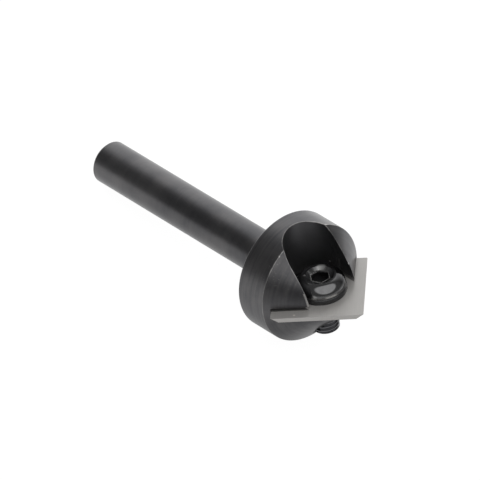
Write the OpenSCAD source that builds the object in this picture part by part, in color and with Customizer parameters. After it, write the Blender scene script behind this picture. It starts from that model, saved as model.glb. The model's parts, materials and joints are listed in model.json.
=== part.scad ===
// V-groove router bit: a turned steel body, a carbide insert, and the washer and screw that clamp it.
// Each piece is drawn along the bit's own axis: X from the end of the shank to the tip,
// the rake face of the insert at z = 0. The whole is then leaned back onto the surface it lies on.

/* [Shank] */
// Diameter of the shank that the collet grips
shank_d = 12.7; // [8:0.05:16]
// Length of the shank behind the head
shank_length = 76.2; // [50:0.1:100]
// Chamfer on the free end of the shank
shank_chamfer = 1; // [0.3:0.1:2]
// Radius of the fillet where the shank meets the head
neck_fillet = 1; // [0.4:0.1:2]

/* [Head] */
// Diameter of the head
head_d = 35.6; // [34:0.1:40]
// Length of the plain cylinder of the head, before the cone
head_length = 10.2; // [9.5:0.1:16]
// Angle between the cone and the axis, which is also that of the cutting edges
cone_angle = 45; // [43:0.5:46]
// Diameter of the small flat that the cone ends in
nose_d = 5; // [4:0.1:8]
// Edge break on the rear rim of the head
rim_break = 0.3; // [0.1:0.05:0.6]

/* [Flute] */
// Width of the flute between the two jaws
flute_w = 16.8; // [15.6:0.1:17.4]
// Wall of the head left behind the round end of the flute
flute_back_wall = 5.3; // [4.5:0.1:5.6]
// How far the flute's lower pass runs off to one side, into one jaw
pass_shift = 0.3; // [0.1:0.05:0.6]
// Height of that lower pass above the rake face
pass_height = 5.2; // [4:0.1:6]

/* [Insert] */
// Length of each cutting edge, up to its unbroken corners
edge_length = 26.1; // [25:0.1:27]
// Thickness of the insert
insert_t = 1.5; // [1:0.1:2.5]
// How far the cutting edges stand ahead of the cone, square to it
edge_reach = 3.2; // [2.5:0.1:3.6]
// Distance from the screw to the back edge of the insert
insert_back = 9; // [8.2:0.1:9.4]
// Clearance angle ground under the cutting edges
flank_relief = 7; // [3:1:12]
// Angle that the three front corners are ground back under the rake face
corner_relief = 45; // [30:1:50]
// Width of the flat on those corners
corner_flat = 0.3; // [0.1:0.05:0.6]
// Room above the insert in its slot
slot_room = 0.9; // [0.6:0.1:2]
// Gap between the back edge of the insert and its pocket
pocket_gap = 0.3; // [0.1:0.05:0.6]

/* [Clamp] */
// Thread diameter of the screw
screw_d = 8; // [7:0.5:8]
// Length of the screw under its head
screw_length = 14.5; // [13:0.5:17]
// Distance from the rear face of the head to the screw
screw_from_head = 15.1; // [14.8:0.1:15.6]
// Chamfer on the threaded end
screw_chamfer = 0.3; // [0.3:0.1:1]
// Diameter of the button head
button_d = 14.2; // [13.4:0.1:14.4]
// Height of the button head
button_h = 3.8; // [3.4:0.1:4.4]
// Diameter of the flat on top of the button head
button_flat_d = 8.8; // [8.6:0.1:9.6]
// Height of the upright rim of the button head
button_rim = 0.5; // [0.2:0.05:0.8]
// Hexagon socket, across its flats
hex_af = 5; // [4:0.5:5]
// Depth of the hexagon socket
hex_depth = 2.6; // [1.8:0.1:2.8]
// Diameter of the countersink round the socket
sink_d = 8.2; // [6.4:0.1:8.4]
// Angle of the countersink under the top of the head
sink_angle = 30; // [20:1:40]
// Turn of the tightened screw, which its socket shows
screw_turn = 25; // [0:5:55]
// Outside diameter of the washer
washer_d = 14.6; // [13:0.1:15]
// Thickness of the washer
washer_t = 1.6; // [1.2:0.1:2]
// Edge break on the washer
washer_break = 0.2; // [0.1:0.05:0.4]

/* [Fits] */
// Play of the screw in the washer and in the insert, over the diameter
screw_play = 0.4; // [0.2:0.05:0.8]
// Play of the thread in its tapped hole, over the diameter
thread_play = 0.1; // [0.04:0.02:0.2]

/* [Hidden] */
$fn = 96;

black_oxide = [0.16, 0.16, 0.17];
gloss_black = [0.09, 0.09, 0.1];
ground_carbide = [0.62, 0.61, 0.59];

// A cut runs this far past what it cuts
over = 1;

shank_r = shank_d / 2;
head_r = head_d / 2;
nose_r = nose_d / 2;
cone_x = shank_length + head_length;
apex_x = cone_x + head_r / tan(cone_angle);
nose_x = apex_x - nose_r / tan(cone_angle);

// Where the two cutting edges would meet, and where each one would end
tip_x = apex_x + edge_reach / sin(cone_angle);
corner_x = tip_x - edge_length * cos(cone_angle);
corner_y = edge_length * sin(cone_angle);
// The corners are then taken back to their flats
tip_flat_x = tip_x - corner_flat / 2 / tan(cone_angle);
corner_flat_y = corner_y - corner_flat / 2;

screw_x = shank_length + screw_from_head;
back_x = screw_x - insert_back;

flute_r = flute_w / 2;
flute_x = shank_length + flute_back_wall + flute_r;

screw_r = screw_d / 2;
screw_end_z = washer_t - screw_length;
clear_r = (screw_d + screw_play) / 2;
tapped_r = (screw_d + thread_play) / 2;
washer_r = washer_d / 2;
button_r = button_d / 2;
button_flat_r = button_flat_d / 2;
button_z = washer_t + button_h;
// Radius through the corners of the hexagon, where the countersink ends
hex_r = hex_af / 2 / cos(30);
sink_r = sink_d / 2;
sink_depth = (sink_r - hex_r) * tan(sink_angle);

// Turn of the blank about its axis, which keeps the seam of its surfaces off the line it rests on
seam_turn = 4;

// The bit rests on the rear rim of its head and on the edge of the shank's chamfer
lean = atan((head_r - shank_r) / (shank_length + rim_break - shank_chamfer));
rest_z = head_r * cos(lean) - (shank_length + rim_break) * sin(lean);
// Its tip lies furthest ahead, and the upper edge of the shank's end furthest back
front_x = tip_flat_x * cos(lean);
rear_x = (shank_chamfer - shank_r) * sin(lean);

// Leans a piece back from the bit's own axis to where it rests, centred over the origin
module at_rest() {
    translate([-(front_x + rear_x) / 2, 0, rest_z])
        rotate([0, -lean, 0])
            children();
}

// The turned blank: shank, head and cone
module blank() {
    rotate([0, 90, 0])
        rotate([0, 0, seam_turn])
            rotate_extrude()
                difference() {
                    polygon([
                        [0, 0],
                        [shank_r - shank_chamfer, 0],
                        [shank_r, shank_chamfer],
                        [shank_r, shank_length - neck_fillet],
                        [shank_r + neck_fillet, shank_length],
                        [head_r - rim_break, shank_length],
                        [head_r, shank_length + rim_break],
                        [head_r, cone_x],
                        [nose_r, nose_x],
                        [0, nose_x]
                    ]);
                    translate([shank_r + neck_fillet, shank_length - neck_fillet])
                        circle(r = neck_fillet);
                }
}

// The flute, from the rake face up: a slot with a round back end, open at the nose
module flute() {
    linear_extrude(head_r + over)
        union() {
            translate([flute_x, 0])
                circle(r = flute_r);
            translate([flute_x, -flute_r])
                square([tip_x - flute_x, 2 * flute_r]);
        }
    // Its lower pass, which runs a little into one jaw
    translate([flute_x, 0, 0])
        cube([tip_x - flute_x, flute_r + pass_shift, pass_height]);
}

// The insert seen square to its rake face: two cutting edges, two sides square to them, a back edge
module insert_outline(gap) {
    end_x = back_x - gap;
    end_y = corner_y - (corner_x - end_x) / tan(cone_angle);
    polygon([
        [tip_x, 0],
        [corner_x, corner_y],
        [end_x, end_y],
        [end_x, -end_y],
        [corner_x, -corner_y]
    ]);
}

module tool_body() {
    color(black_oxide)
        at_rest()
            difference() {
                blank();
                flute();
                // Slot and seat of the insert
                translate([0, 0, -insert_t])
                    linear_extrude(insert_t + slot_room)
                        insert_outline(pocket_gap);
                // Tapped hole, through to the far side of the cone
                translate([screw_x, 0, -head_r - over])
                    cylinder(r = tapped_r, h = head_r + over);
            }
}

// What grinding takes away: all that lies ahead of a face that leans in under the rake face
module ground_away(x, y, facing, under) {
    translate([x, y, 0])
        rotate([0, under, facing])
            translate([0, -edge_length, -edge_length])
                cube([edge_length, 2 * edge_length, 2 * edge_length]);
}

module carbide_insert() {
    color(ground_carbide)
        at_rest()
            difference() {
                translate([0, 0, -insert_t])
                    linear_extrude(insert_t)
                        insert_outline(0);
                for (side = [-1, 1]) {
                    ground_away(tip_x, 0, side * (90 - cone_angle), flank_relief);
                    ground_away(corner_x, side * corner_flat_y, side * 90, corner_relief);
                }
                ground_away(tip_flat_x, 0, 0, corner_relief);
                translate([screw_x, 0, -insert_t - over])
                    cylinder(r = clear_r, h = insert_t + 2 * over);
            }
}

module clamp_washer() {
    color(gloss_black)
        at_rest()
            translate([screw_x, 0, 0])
                rotate_extrude()
                    polygon([
                        [clear_r, 0],
                        [washer_r, 0],
                        [washer_r, washer_t - washer_break],
                        [washer_r - washer_break, washer_t],
                        [clear_r, washer_t]
                    ]);
}

// Half section of the screw: threaded stem, flat underside, upright rim, dome and flat top
module screw_section() {
    rise = button_h - button_rim;
    run = button_r - button_flat_r;
    // The dome's arc leaves the rim upright and reaches the flat top
    dome_r = (run * run + rise * rise) / (2 * run);
    polygon([
        [0, screw_end_z],
        [screw_r - screw_chamfer, screw_end_z],
        [screw_r, screw_end_z + screw_chamfer],
        [screw_r, washer_t],
        [button_r, washer_t],
        [button_r, washer_t + button_rim],
        [button_flat_r, button_z],
        [0, button_z]
    ]);
    intersection() {
        translate([button_r - dome_r, washer_t + button_rim])
            circle(r = dome_r);
        translate([0, washer_t + button_rim])
            square([button_r, rise]);
    }
}

// The hexagon socket with the countersink round it
module socket() {
    translate([0, 0, button_z - hex_depth])
        rotate([0, 0, screw_turn])
            cylinder(r = hex_r, h = hex_depth, $fn = 6);
    translate([0, 0, button_z - sink_depth])
        cylinder(r1 = hex_r, r2 = sink_r, h = sink_depth);
}

module clamp_screw() {
    color(gloss_black)
        at_rest()
            translate([screw_x, 0, 0])
                difference() {
                    rotate_extrude()
                        screw_section();
                    socket();
                }
}

tool_body();
carbide_insert();
clamp_washer();
clamp_screw();
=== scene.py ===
import json
import math

import bpy
from mathutils import Matrix, Vector


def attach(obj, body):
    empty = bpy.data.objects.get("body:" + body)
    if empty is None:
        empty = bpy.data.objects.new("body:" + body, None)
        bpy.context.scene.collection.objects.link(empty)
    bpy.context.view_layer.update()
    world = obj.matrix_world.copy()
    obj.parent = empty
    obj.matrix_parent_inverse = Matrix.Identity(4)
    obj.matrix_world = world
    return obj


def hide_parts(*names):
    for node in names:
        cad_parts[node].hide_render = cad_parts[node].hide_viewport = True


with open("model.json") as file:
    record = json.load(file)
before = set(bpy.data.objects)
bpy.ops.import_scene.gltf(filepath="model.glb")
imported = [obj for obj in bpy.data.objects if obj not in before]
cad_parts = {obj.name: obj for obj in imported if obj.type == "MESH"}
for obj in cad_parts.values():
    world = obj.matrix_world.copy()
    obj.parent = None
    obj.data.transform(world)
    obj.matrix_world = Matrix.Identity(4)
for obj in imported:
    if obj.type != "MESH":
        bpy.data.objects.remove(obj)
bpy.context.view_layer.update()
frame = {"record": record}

# Tool body: one bar of alloy steel, turned to a straight shank, a head and a 45 degree cone.
# The flute and the insert's slot are milled, the screw's hole is drilled and tapped, and the
# whole is blackened. Wear has bared the steel along its edges.
mm = 0.001
shank_r = 6.35 * mm
shank_length = 76.2 * mm
shank_chamfer = 1 * mm
neck_fillet = 1 * mm
head_r = 17.8 * mm
head_length = 10.2 * mm
rim_break = 0.3 * mm
nose_r = 2.5 * mm
cone_x = shank_length + head_length
apex_x = cone_x + head_r
flute_r = 8.4 * mm
flute_back_wall = 5.3 * mm
flute_x = shank_length + flute_back_wall + flute_r
pass_shift = 0.3 * mm
pass_height = 5.2 * mm
insert_t = 1.5 * mm
slot_room = 0.9 * mm
pocket_gap = 0.3 * mm
edge_length = 26.1 * mm
edge_reach = 3.2 * mm
tip_x = apex_x + edge_reach * math.sqrt(2)
corner_x = tip_x - edge_length / math.sqrt(2)
screw_from_head = 15.1 * mm
screw_x = shank_length + screw_from_head
insert_back = 9 * mm
back_x = screw_x - insert_back
tapped_r = 4.05 * mm
edge_break = 0.12 * mm
turned_sides = 256
flute_sides = 192
neck_steps = 6

# Points closer than these gaps become one. Edges sharper than these angles are rounded off,
# or else stay sharp when the piece is smoothed.
weld_gap = 0.001 * mm
wide_weld_gap = 0.002 * mm
rounded_angle = math.radians(28)
sharp_angle = math.radians(35)

# The bit's own axes: X from the end of the shank to the tip, the rake face at Z = 0
mounts = {mount["name"]: mount for mount in frame["record"]["mounts"]}
along = -Vector(mounts["shank"]["axis"])
upright = Vector(mounts["clamp_screw_socket"]["axis"])
shank_end = Vector(mounts["shank"]["pos_m"]) - along * shank_length / 2
lying = Matrix((along, upright.cross(along), upright)).transposed().to_4x4()
lying.translation = shank_end


def turn(name, stations, sides, hollow=False):
    """Turns a piece about Z, one extrusion for each station of height and radius."""
    bpy.ops.object.select_all(action="DESELECT")
    height, radius = stations[0]
    bpy.ops.mesh.primitive_circle_add(
        vertices=sides,
        radius=radius,
        fill_type="NOTHING" if hollow else "NGON",
        location=(0, 0, height),
    )
    piece = bpy.context.object
    piece.name = name
    bpy.ops.object.transform_apply()
    bpy.ops.object.mode_set(mode="EDIT")
    for next_height, next_radius in stations[1:]:
        rise = {"value": (0, 0, next_height - height)}
        bpy.ops.mesh.extrude_region_move(TRANSFORM_OT_translate=rise)
        growth = next_radius / radius
        bpy.ops.transform.resize(value=(growth, growth, 1), center_override=(0, 0, next_height))
        height, radius = next_height, next_radius
    bpy.ops.mesh.select_all(action="SELECT")
    bpy.ops.mesh.remove_doubles(threshold=weld_gap)
    bpy.ops.mesh.normals_make_consistent(inside=False)
    bpy.ops.object.mode_set(mode="OBJECT")
    return piece


def arc(height, radius, size, first, last, steps):
    """Stations along an arc in the section of a turned piece, from one angle to another."""
    angles = [math.radians(first + (last - first) * i / steps) for i in range(steps + 1)]
    return [(height + size * math.sin(a), radius + size * math.cos(a)) for a in angles]


def place(piece, location=(0, 0, 0), rotation=(0, 0, 0)):
    """Moves and turns a piece, and puts its place in its mesh."""
    bpy.ops.object.select_all(action="DESELECT")
    piece.select_set(True)
    bpy.context.view_layer.objects.active = piece
    piece.location = location
    piece.rotation_euler = rotation
    bpy.ops.object.transform_apply()
    return piece


def cylinder(radius, bottom, top, x=0, sides=96):
    """A round cutter along Z."""
    bpy.ops.object.select_all(action="DESELECT")
    bpy.ops.mesh.primitive_cylinder_add(
        vertices=sides, radius=radius, depth=top - bottom, location=(x, 0, (top + bottom) / 2)
    )
    bpy.ops.object.transform_apply()
    return bpy.context.object


def pick(piece, wanted):
    """Opens a piece in edit mode with only the vertices selected whose place is wanted."""
    bpy.ops.object.select_all(action="DESELECT")
    bpy.context.view_layer.objects.active = piece
    piece.select_set(True)
    bpy.context.tool_settings.mesh_select_mode = (True, False, False)
    bpy.ops.object.mode_set(mode="EDIT")
    bpy.ops.mesh.select_all(action="DESELECT")
    bpy.ops.object.mode_set(mode="OBJECT")
    for vertex in piece.data.vertices:
        vertex.select = wanted(vertex.co)
    bpy.ops.object.mode_set(mode="EDIT")


def modify(piece, kind, **settings):
    """Adds one modifier and applies it."""
    bpy.ops.object.select_all(action="DESELECT")
    bpy.context.view_layer.objects.active = piece
    piece.select_set(True)
    change = piece.modifiers.new(kind.lower(), kind)
    for name, value in settings.items():
        setattr(change, name, value)
    bpy.ops.object.modifier_apply(modifier=change.name)


def cut(piece, tool, operation="DIFFERENCE"):
    """Cuts a piece with a tool, joins the two, or keeps what both share, and puts the tool away."""
    modify(piece, "BOOLEAN", operation=operation, object=tool, solver="EXACT")
    bpy.data.objects.remove(tool)


def block(low, high):
    """A straight cutter between two corners."""
    bpy.ops.object.select_all(action="DESELECT")
    bpy.ops.mesh.primitive_cube_add(size=1, location=(Vector(low) + Vector(high)) / 2)
    tool = bpy.context.object
    tool.scale = Vector(high) - Vector(low)
    bpy.ops.object.transform_apply()
    return tool


def slot_cutter(radius, height):
    """A round cutter drawn out past the nose, as a slot."""
    tool = cylinder(radius, 0, height, flute_x, sides=flute_sides)
    pick(tool, lambda place: place.x > flute_x - weld_gap)
    bpy.ops.transform.translate(value=(tip_x - flute_x + radius, 0, 0))
    bpy.ops.object.mode_set(mode="OBJECT")
    return tool


def square_plate(size, bottom, top, back):
    """A square plate on its corner, cut off straight at the back."""
    bpy.ops.object.select_all(action="DESELECT")
    bpy.ops.mesh.primitive_cube_add(size=1, location=(corner_x, 0, (bottom + top) / 2))
    plate = bpy.context.object
    plate.scale = (size, size, top - bottom)
    plate.rotation_euler = (0, 0, math.radians(45))
    bpy.ops.object.transform_apply()
    bisect(plate, (back, 0, 0), (-1, 0, 0))
    return plate


def bisect(piece, point, outward):
    """Grinds away all of a piece that lies beyond a plane, and closes the face."""
    pick(piece, lambda place: True)
    bpy.ops.mesh.bisect(
        plane_co=point, plane_no=Vector(outward).normalized(), use_fill=True, clear_outer=True
    )
    bpy.ops.object.mode_set(mode="OBJECT")


def break_edges(piece, width):
    """Rounds off the sharp edges."""
    pick(piece, lambda place: True)
    bpy.ops.mesh.remove_doubles(threshold=wide_weld_gap)
    bpy.ops.mesh.dissolve_degenerate(threshold=wide_weld_gap)
    bpy.ops.object.mode_set(mode="OBJECT")
    modify(
        piece,
        "BEVEL",
        width=width,
        segments=2,
        limit_method="ANGLE",
        angle_limit=rounded_angle,
        use_clamp_overlap=False,
    )


def lay_down(piece, name):
    """Smooths a piece up to its sharp edges, and lays it down with the bit."""
    pick(piece, lambda place: True)
    bpy.ops.mesh.remove_doubles(threshold=wide_weld_gap)
    bpy.ops.mesh.normals_make_consistent(inside=False)
    bpy.ops.object.mode_set(mode="OBJECT")
    bpy.ops.object.shade_smooth_by_angle(angle=sharp_angle)
    modify(piece, "WEIGHTED_NORMAL", keep_sharp=True, weight=100)
    piece.data.transform(lying)
    piece.name = name
    piece.data.name = name
    return piece


class Term:
    """A socket of a shader's nodes. Sums on it are written as Python expressions."""

    def __init__(self, tree, socket=None):
        self.tree = tree
        self.socket = socket

    def node(self, kind, settings, values, output=0):
        """Adds a node: first its settings, then the values or links of its sockets."""
        made = self.tree.nodes.new(kind)
        for name, value in settings.items():
            setattr(made, name, value)
        for name, value in values.items():
            if isinstance(value, Term):
                self.tree.links.new(value.socket, made.inputs[name])
            else:
                made.inputs[name].default_value = value
        return Term(self.tree, made.outputs[output])

    def math(self, operation, *values):
        return self.node("ShaderNodeMath", {"operation": operation}, dict(enumerate(values)))

    def __add__(self, other):
        return self.math("ADD", self, other)

    def __radd__(self, other):
        return self.math("ADD", other, self)

    def __sub__(self, other):
        return self.math("SUBTRACT", self, other)

    def __rsub__(self, other):
        return self.math("SUBTRACT", other, self)

    def __mul__(self, other):
        return self.math("MULTIPLY", self, other)

    def __rmul__(self, other):
        return self.math("MULTIPLY", other, self)

    def __truediv__(self, other):
        return self.math("DIVIDE", self, other)

    def __pow__(self, other):
        return self.math("POWER", self, other)

    def __abs__(self):
        return self.math("ABSOLUTE", self)

    def least(self, other):
        return self.math("MINIMUM", self, other)

    def most(self, other):
        return self.math("MAXIMUM", self, other)

    def near(self, place, size):
        """1 round a place, fading to 0 at this distance."""
        gap = self.node("ShaderNodeVectorMath", {"operation": "DISTANCE"}, {0: self, 1: place}, "Value")
        return 1 - gap.step(size / 2, size)

    def step(self, low, high):
        """0 below the low value, 1 above the high one, and smooth between."""
        settings = {"interpolation_type": "SMOOTHSTEP"}
        values = {"Value": self, "From Min": low, "From Max": high}
        return self.node("ShaderNodeMapRange", settings, values)

    def split(self):
        """The three parts of a vector."""
        return [self.node("ShaderNodeSeparateXYZ", {}, {"Vector": self}, i) for i in range(3)]

    def noise(self, scale, detail=2, stretch=(1, 1, 1)):
        """Cloudy noise from 0 to 1 over a place in millimetres."""
        spread = self.node("ShaderNodeVectorMath", {"operation": "MULTIPLY"}, {0: self, 1: stretch})
        values = {"Vector": spread, "Scale": scale, "Detail": detail}
        return self.node("ShaderNodeTexNoise", {}, values)

    def blend(self, low, high):
        """A colour between two, by this share."""
        return self.node("ShaderNodeMix", {"data_type": "RGBA"}, {0: self, 6: low, 7: high}, 2)


def finish(name):
    """A new material with its shader, and the place on the bit in its own axes and millimetres."""
    material = bpy.data.materials.new(name)
    material.use_nodes = True
    tree = material.node_tree
    upright_again = lying.inverted()
    place_on = Term(tree).node("ShaderNodeTexCoord", {}, {}, "Object")
    values = {
        "Vector": place_on,
        "Location": upright_again.translation / mm,
        "Rotation": upright_again.to_euler(),
        "Scale": (1 / mm, 1 / mm, 1 / mm),
    }
    spot = place_on.node("ShaderNodeMapping", {}, values)
    return material, tree.nodes["Principled BSDF"], spot


def connect(shader, **links):
    """Joins terms to a shader's sockets, and sets plain values on the sockets themselves."""
    for name, value in links.items():
        socket = shader.inputs[name.replace("_", " ")]
        if isinstance(value, Term):
            value.tree.links.new(value.socket, socket)
        else:
            socket.default_value = value


def wear(piece, material):
    """Gives a piece its material, and lets it ride with the bit."""
    piece.data.materials.clear()
    piece.data.materials.append(material)
    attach(piece, "root")


blank = turn(
    "blank",
    [(0, shank_r - shank_chamfer), (shank_chamfer, shank_r)]
    + arc(shank_length - neck_fillet, shank_r + neck_fillet, neck_fillet, 180, 90, neck_steps)
    + [
        (shank_length, head_r - rim_break),
        (shank_length + rim_break, head_r),
        (cone_x, head_r),
        (apex_x - nose_r, nose_r),
    ],
    turned_sides,
)
place(blank, rotation=(0, math.radians(90), 0))
cut(blank, slot_cutter(flute_r, 2 * head_r))
cut(blank, block((flute_x, 0, 0), (tip_x, flute_r + pass_shift, pass_height)))
cut(blank, square_plate(edge_length, -insert_t, slot_room, back_x - pocket_gap))
cut(blank, cylinder(tapped_r, -2 * head_r, 0, screw_x))
break_edges(blank, edge_break)
body = lay_down(blank, "blackened_body")

oxide, shader, spot = finish("black oxide on steel")
x, y, z = spot.split()
radius = (y * y + z * z) ** 0.5
cloud = spot.noise(0.12, 4)
grain = spot.noise(2.2, 3)
turned = spot.noise(1.4, 4, (1, 0.06, 0.06))
head_start = shank_length / mm
on_head = x.step(head_start - 0.2, head_start + 0.8)

# How far a point is from the head's worn edges: the rim of the cone and the sides of the flute
depth = abs((apex_x / mm - x).least(head_r / mm) - radius)
behind = (flute_x / mm - x).most(0)
flute_gap = abs((behind * behind + y * y) ** 0.5 - flute_r / mm) + depth + (1 - z.step(0.6, 0.9)) * 9
rim_gap = abs(x - cone_x / mm) + abs(radius - head_r / mm)
patches = spot.noise(0.45, 3)
rubbed = 1 - (rim_gap.least(flute_gap) + patches * 0.5).step(0.2, 0.55)
pass_top = pass_height / mm
low_jaw = (1 - flute_gap.step(0.3, 0.55)) * (1 - z.step(pass_top - 0.3, pass_top + 0.1))
low_jaw = low_jaw * (1 - y.step(-1, 1))
scratched = spot.near((88.6, -11.5, 11.5), 7)
scratches = spot.noise(3.2, 2, (0.12, 1, 1)).step(0.66, 0.75) * scratched
bare = (rubbed * (0.35 + z.step(8, 12) * 0.6)).most(low_jaw * 0.9).most(scratches * 0.45)
nick_size = 0.4
nicks = ((94.2, -8.3, 5.5), (86.4, -9.65, 15.0), (93.7, -10.5, 0.6), (93.9, 8.6, 5.6), (86.7, 7.76, 3.2))
for nick in nicks:
    bare = bare.most(spot.near(nick, nick_size))

shade = cloud * 0.7 + 0.15 + (turned - 0.5) * (0.12 + on_head * 0.38)
deep_black = (0.08, 0.08, 0.085, 1)
grey_black = (0.133, 0.13, 0.132, 1)
milled_black = (0.115, 0.115, 0.12, 1)
bare_steel = (0.5, 0.49, 0.48, 1)
black = shade.step(0.3, 0.72).blend(deep_black, grey_black)
milled = depth.step(0.2, 0.5) * on_head * z.step(0.4, 0.9)
black = milled.blend(black, milled_black)
marks = spot.noise(4, 2, (1, 0.03, 0.03)) + grain * 0.5
bump = spot.node("ShaderNodeBump", {}, {"Strength": 0.3, "Distance": 0.01 * mm, "Height": marks})
connect(
    shader,
    Base_Color=bare.blend(black, bare_steel),
    Metallic=0.9,
    Roughness=0.24 + cloud * 0.1 + grain * 0.06 + bare * 0.08 + milled * 0.08,
    Normal=bump,
)
wear(body, oxide)
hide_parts("tool_body")

# Carbide insert: a flat plate of tungsten carbide, ground all over, with two cutting edges at a
# right angle. Its flanks lean in by 7 degrees and its three front corners by 45.
flank_relief = math.radians(7)
corner_relief = math.radians(45)
corner_flat = 0.3 * mm
clear_r = 4.2 * mm
insert_edge = 0.04 * mm

plate = square_plate(edge_length, -insert_t, 0, back_x)
cut(plate, cylinder(clear_r, -2 * insert_t, insert_t, screw_x))
for side in (-1, 1):
    bisect(plate, (tip_x, 0, 0), (1, side, -math.sqrt(2) * math.tan(flank_relief)))
    corner_y = side * (edge_length / math.sqrt(2) - corner_flat / 2)
    bisect(plate, (corner_x, corner_y, 0), (0, side, -math.tan(corner_relief)))
bisect(plate, (tip_x - corner_flat / 2, 0, 0), (1, 0, -math.tan(corner_relief)))
break_edges(plate, insert_edge)
insert = lay_down(plate, "ground_insert")

carbide, shader, spot = finish("ground carbide")
x, y, z = spot.split()
line_stretch = 0.04
across_lines = {0: x + y, 1: (x - y) * line_stretch, 2: z * line_stretch}
ground = x.node("ShaderNodeCombineXYZ", {}, across_lines)
lines = ground.noise(2.5, 4)
smears = spot.noise(0.3, 3)
face_speck = spot.near((94.1, -12.9, 0), 0.45)
corner_speck = spot.near((91.7, -18.2, 0), 0.5)
speck = face_speck.most(corner_speck)
dark_carbide = (0.41, 0.4, 0.385, 1)
light_carbide = (0.54, 0.525, 0.505, 1)
# Painted shade colour for the rake face under the jaws
painted_shade_carbide = (0.16, 0.155, 0.15, 1)
chipped_carbide = (0.75, 0.71, 0.66, 1)
metal = (lines * 0.6 + smears * 0.4).blend(dark_carbide, light_carbide)

# Painted shade: the rake face is darker where the jaws cover it, in the slot under them
under_jaw_shade = (apex_x / mm - x - abs(y)).step(0, 0.25) * (abs(y) - flute_r / mm).step(0, 0.2)
metal = (under_jaw_shade * z.step(-0.05, -0.01)).blend(metal, painted_shade_carbide)
connect(
    shader,
    Base_Color=speck.blend(metal, chipped_carbide),
    Metallic=0.2,
    Roughness=0.22 + lines * 0.1 + smears * 0.06,
)
wear(insert, carbide)
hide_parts("carbide_insert")

# Clamp washer: a plain steel washer, blackened and oiled, between the screw and the insert.
washer_r = 7.3 * mm
washer_t = 1.6 * mm
washer_break = 0.2 * mm
washer_edge = 0.08 * mm
clamp_sides = 128

ring = turn(
    "ring",
    [
        (0, clear_r),
        (0, washer_r),
        (washer_t - washer_break, washer_r),
        (washer_t, washer_r - washer_break),
        (washer_t, clear_r),
        (0, clear_r),
    ],
    clamp_sides,
    hollow=True,
)
place(ring, location=(screw_x, 0, 0))
break_edges(ring, washer_edge)
washer = lay_down(ring, "plain_washer")

oiled, shader, spot = finish("oiled black steel")
oil = spot.noise(0.9, 3)
dry_black = (0.035, 0.035, 0.038, 1)
oiled_black = (0.09, 0.09, 0.09, 1)
connect(
    shader,
    Base_Color=oil.blend(dry_black, oiled_black),
    Metallic=0.7,
    Roughness=0.14 + oil * 0.2,
)
wear(washer, oiled)
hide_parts("clamp_washer")

# Clamp screw: an M8 button head screw of polished black steel, with a countersunk hexagon
# socket. It goes through the washer and the insert into the body, and its end stands out under
# the cone.
screw_r = 4 * mm
thread_pitch = 1.25 * mm
thread_depth = 0.767 * mm
thread_root = thread_pitch / 4
thread_crest = thread_pitch / 8
thread_flank = (thread_pitch - thread_root - thread_crest) / 2
thread_start_z = -14.85 * mm
thread_steps = 48
thread_tail = 0.2 * mm
screw_end_z = -12.9 * mm
end_inset = 0.01 * mm
screw_chamfer = 0.3 * mm
stem_sides = 96
button_r = 7.1 * mm
button_h = 3.8 * mm
button_flat_r = 4.4 * mm
button_rim = 0.5 * mm
button_z = washer_t + button_h
dome_steps = 16
head_edge = 0.1 * mm
hex_af = 5 * mm
half_side = math.radians(30)
hex_r = hex_af / 2 / math.cos(half_side)
hex_depth = 2.6 * mm
sink_r = 4.1 * mm
sink_angle = math.radians(30)
sink_depth = (sink_r - hex_r) * math.tan(sink_angle)
sink_over = 0.1 * mm
screw_turn = math.radians(25)

rise = button_h - button_rim
run = button_r - button_flat_r
dome_r = (run * run + rise * rise) / (2 * run)
dome_end = math.degrees(math.asin(rise / dome_r))
head = turn(
    "head",
    [(washer_t, screw_r - thread_depth), (washer_t, button_r)]
    + arc(washer_t + button_rim, button_r - dome_r, dome_r, 0, dome_end, dome_steps),
    clamp_sides,
)
sink_growth = (sink_r - hex_r) / sink_depth
countersink = turn(
    "countersink",
    [(button_z - sink_depth, hex_r), (button_z + mm, hex_r + (sink_depth + mm) * sink_growth)],
    stem_sides,
)
cut(head, countersink)
hexagon = cylinder(hex_r, button_z - hex_depth, button_z - sink_depth + sink_over, sides=6)
cut(head, place(hexagon, rotation=(0, 0, screw_turn - half_side)))
break_edges(head, head_edge)

# The thread: one pitch of its section, drawn point by point, then screwed up the stem. Its mesh
# isn't closed: part of the face at its end is missing, and one is left between it and the head.
bpy.ops.object.select_all(action="DESELECT")
bpy.ops.mesh.primitive_plane_add(size=mm)
rod = bpy.context.object
bpy.context.tool_settings.mesh_select_mode = (True, False, False)
bpy.ops.object.mode_set(mode="EDIT")
bpy.ops.mesh.select_all(action="SELECT")
bpy.ops.mesh.merge(type="CENTER")
bpy.ops.transform.translate(value=(screw_r - thread_depth, 0, thread_start_z))
for out, rise in (
    (0, thread_root),
    (thread_depth, thread_flank),
    (0, thread_crest),
    (-thread_depth, thread_flank),
):
    step = {"value": (out, 0, rise)}
    bpy.ops.mesh.extrude_region_move(TRANSFORM_OT_translate=step)
bpy.ops.object.mode_set(mode="OBJECT")
modify(
    rod,
    "SCREW",
    axis="Z",
    angle=2 * math.pi,
    screw_offset=thread_pitch,
    iterations=math.ceil((washer_t - thread_start_z) / thread_pitch) + 2,
    steps=thread_steps,
    render_steps=thread_steps,
    use_merge_vertices=True,
    merge_threshold=weld_gap,
)
bisect(rod, (0, 0, screw_end_z + end_inset), (0, 0, -1))
bisect(rod, (0, 0, washer_t + thread_tail), (0, 0, 1))
pick(rod, lambda place: True)
bpy.ops.mesh.remove_doubles(threshold=weld_gap)
bpy.ops.mesh.normals_make_consistent(inside=False)
bpy.ops.object.mode_set(mode="OBJECT")
stem = turn(
    "stem",
    [
        (screw_end_z, screw_r - screw_chamfer),
        (screw_end_z + screw_chamfer, screw_r),
        (washer_t + mm, screw_r),
    ],
    stem_sides,
)
cut(rod, stem, "INTERSECT")
cut(head, rod, "UNION")
place(head, location=(screw_x, 0, 0))
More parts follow.
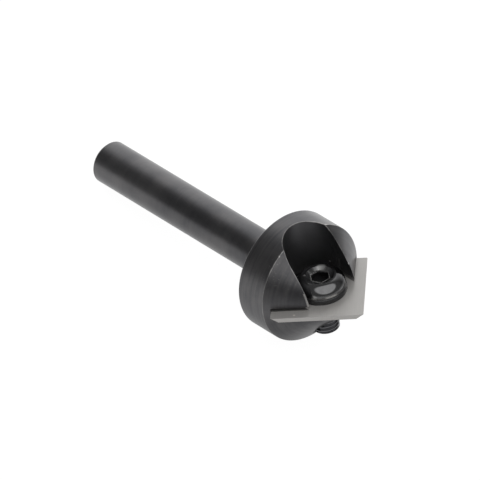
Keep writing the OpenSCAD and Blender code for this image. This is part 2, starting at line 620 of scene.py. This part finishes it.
screw = lay_down(head, "button_head_screw")

gloss, shader, spot = finish("glossy black steel")
oil = spot.noise(0.7, 3)
x, y, z = spot.split()

# How far a point is out from the screw towards the socket's sides, and the worn edges there
side = None
for facing in (screw_turn + math.radians(30 + 60 * i) for i in range(3)):
    width = abs((x - screw_x / mm) * math.cos(facing) + y * math.sin(facing))
    side = side.most(width) if side else width
flat_out = hex_af / 2 / mm
edge = (1 - abs(side - flat_out).step(0.08, 0.3)) * z.step(4.2, 4.5)
wear_and_highlights = edge * spot.near((92.2, -1.9, 4.9), 6.5) * (1 - spot.noise(1.2, 2).step(0.6, 0.75) * 0.6)
# Painted highlights: bright steel spots on the countersink, on the front of the head's rim and at the
# near edge of the dome, where the lamp is mirrored. They share one mask with the worn socket edges.
socket_highlights = (((94.1, -2.35, 5.1), 0.7), ((88.3, -3.1, 5.2), 0.5), ((88.9, 2.7, 5.1), 1.7))
for highlight_spot, size in socket_highlights:
    wear_and_highlights = wear_and_highlights.most(spot.near(highlight_spot, size) * 0.6)
rim_z = 2.2
rim_line = 1 - abs(z - rim_z).step(0.15, 0.4)
rim_highlight = spot.near((97.9, -2, rim_z), 2.2) * rim_line
dome_highlight = spot.near((95.2, -6.3, 2.5), 1.2) * 0.5
wear_and_highlights = wear_and_highlights.most(rim_highlight).most(dome_highlight)

# The socket and the top flat are dull. The right of the dome is darker.
flat_z = button_z / mm
inside = (1 - side.step(flat_out, flat_out + 0.12)) * z.step(1, 2)
inside = inside.most(z.step(flat_z - 0.1, flat_z - 0.04))
dome_right_darkening = spot.near((95, 4.6, 3.4), 4.5)
# Painted highlight: the thread's end under the cone gets a lighter polish, to brighten its ridges
thread_end_highlight = (0 - z).step(8, 9)
dark_polish = (0.14, 0.14, 0.145, 1)
light_polish = (0.24, 0.24, 0.24, 1)
dome_right_black = (0.07, 0.07, 0.072, 1)
thread_highlight_polish = (0.22, 0.22, 0.23, 1)
dull_black = (0.05, 0.05, 0.052, 1)
# Bare steel colour for both the worn socket edges and the painted highlights
worn_and_highlight_steel = (0.6, 0.6, 0.59, 1)
polish = oil.blend(dark_polish, light_polish)
polish = dome_right_darkening.blend(polish, dome_right_black)
polish = thread_end_highlight.blend(polish, thread_highlight_polish)
dull = inside.blend(polish, dull_black)
connect(
    shader,
    Base_Color=wear_and_highlights.blend(dull, worn_and_highlight_steel),
    Metallic=0.95,
    Roughness=0.06 + oil * 0.08 + inside * 0.3 + wear_and_highlights * 0.35,
)
wear(screw, gloss)
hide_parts("clamp_screw")

# Bench and backdrop: a white floor under a light tent. The tent is open towards the camera and
# at the sides, so that the metal also mirrors the dark room.
camera_azimuth = math.radians(47.884)
camera_elevation = math.radians(43.931)
camera_distance = 2869 * mm
aim_right = 2.007 * mm
aim_up = 9.127 * mm
pixels_per_mm = 3.5325
image_width = 480
sensor_width = 36
floor_size = 6
floor_drop = 0.05 * mm

right = Vector((math.cos(camera_azimuth), math.sin(camera_azimuth), 0))
back = Vector(
    (
        math.sin(camera_azimuth) * math.cos(camera_elevation),
        -math.cos(camera_azimuth) * math.cos(camera_elevation),
        math.sin(camera_elevation),
    )
)
up = back.cross(right)
bpy.ops.object.camera_add()
camera = bpy.context.object
camera.matrix_world = Matrix.Translation(
    right * aim_right + up * aim_up + back * camera_distance
) @ Matrix((right, up, back)).transposed().to_4x4()
camera.data.sensor_width = sensor_width
camera.data.lens = pixels_per_mm / mm * camera_distance * sensor_width / image_width
camera.data.clip_start = 0.1
camera.data.clip_end = 20
bpy.context.scene.camera = camera

away = Vector((-right.y, right.x, 0))
bpy.ops.mesh.primitive_plane_add(size=floor_size, location=(0, 0, -floor_drop))
floor = bpy.context.object
floor.name = "floor"
bpy.ops.object.transform_apply()
paper = bpy.data.materials.new("white floor")
paper.use_nodes = True
tree = paper.node_tree
tree.nodes.remove(tree.nodes["Principled BSDF"])
spread = Term(tree).node("ShaderNodeTexCoord", {}, {}, "Object")
dot = {"operation": "DOT_PRODUCT"}
far = spread.node("ShaderNodeVectorMath", dot, {0: spread, 1: away}, "Value")
across = spread.node("ShaderNodeVectorMath", dot, {0: spread, 1: right}, "Value")
# What the bit mirrors of the floor: brighter behind it, with a painted shadow under the head, and darker
# off the paper at the sides and in front
painted_head_shadow = spread.near((0.042, 0, 0), 0.045)
off_paper = across.step(0.1, 0.2).most((0 - far).step(0.06, 0.16))
mirrored = (0.98 + far.step(0.01, 0.07) * 0.42 - painted_head_shadow * 0.3) * (1 - off_paper * 0.65)
seen = spread.node("ShaderNodeLightPath", {}, {}, "Is Camera Ray")
seen_white = 1.12
paper_white = (0.9, 0.9, 0.9, 1)
glow_share = 0.86
floor_light = mirrored + seen * (seen_white - mirrored)
glow = spread.node("ShaderNodeEmission", {}, {"Color": floor_light, "Strength": 1.0})
matt = spread.node("ShaderNodeBsdfDiffuse", {}, {"Color": paper_white})
mixed = glow.node("ShaderNodeMixShader", {}, {0: glow_share, 1: matt, 2: glow})
tree.links.new(mixed.socket, tree.nodes["Material Output"].inputs["Surface"])
floor.data.materials.append(paper)

world = bpy.data.worlds.new("light tent")
bpy.context.scene.world = world
world.use_nodes = True
tree = world.node_tree
direction = Term(tree).node("ShaderNodeTexCoord", {}, {}, "Generated")


def towards(aim):
    """How closely a direction of the tent agrees with an aim, 1 when they are the same."""
    return direction.node("ShaderNodeVectorMath", dot, {0: direction, 1: aim}, "Value")


backdrop = towards(away).step(0.4, 0.85) * 1.35
lamp_aim = (right * 0.25 - away * 0.47 + Vector((0, 0, 0.85))).normalized()
lamp_edge = math.cos(math.radians(46))
lamp_middle = math.cos(math.radians(37))
lamp = towards(lamp_aim).step(lamp_edge, lamp_middle) * 0.9
seen = direction.node("ShaderNodeLightPath", {}, {}, "Is Camera Ray")
room_light = 0.14
light = (room_light + backdrop + lamp) * (1 - seen) + seen
tree.links.new(light.socket, tree.nodes["Background"].inputs["Strength"])
tree.nodes["Background"].inputs["Color"].default_value = (1, 1, 1, 1)

view_settings = bpy.context.scene.view_settings
view_settings.view_transform = "Standard"
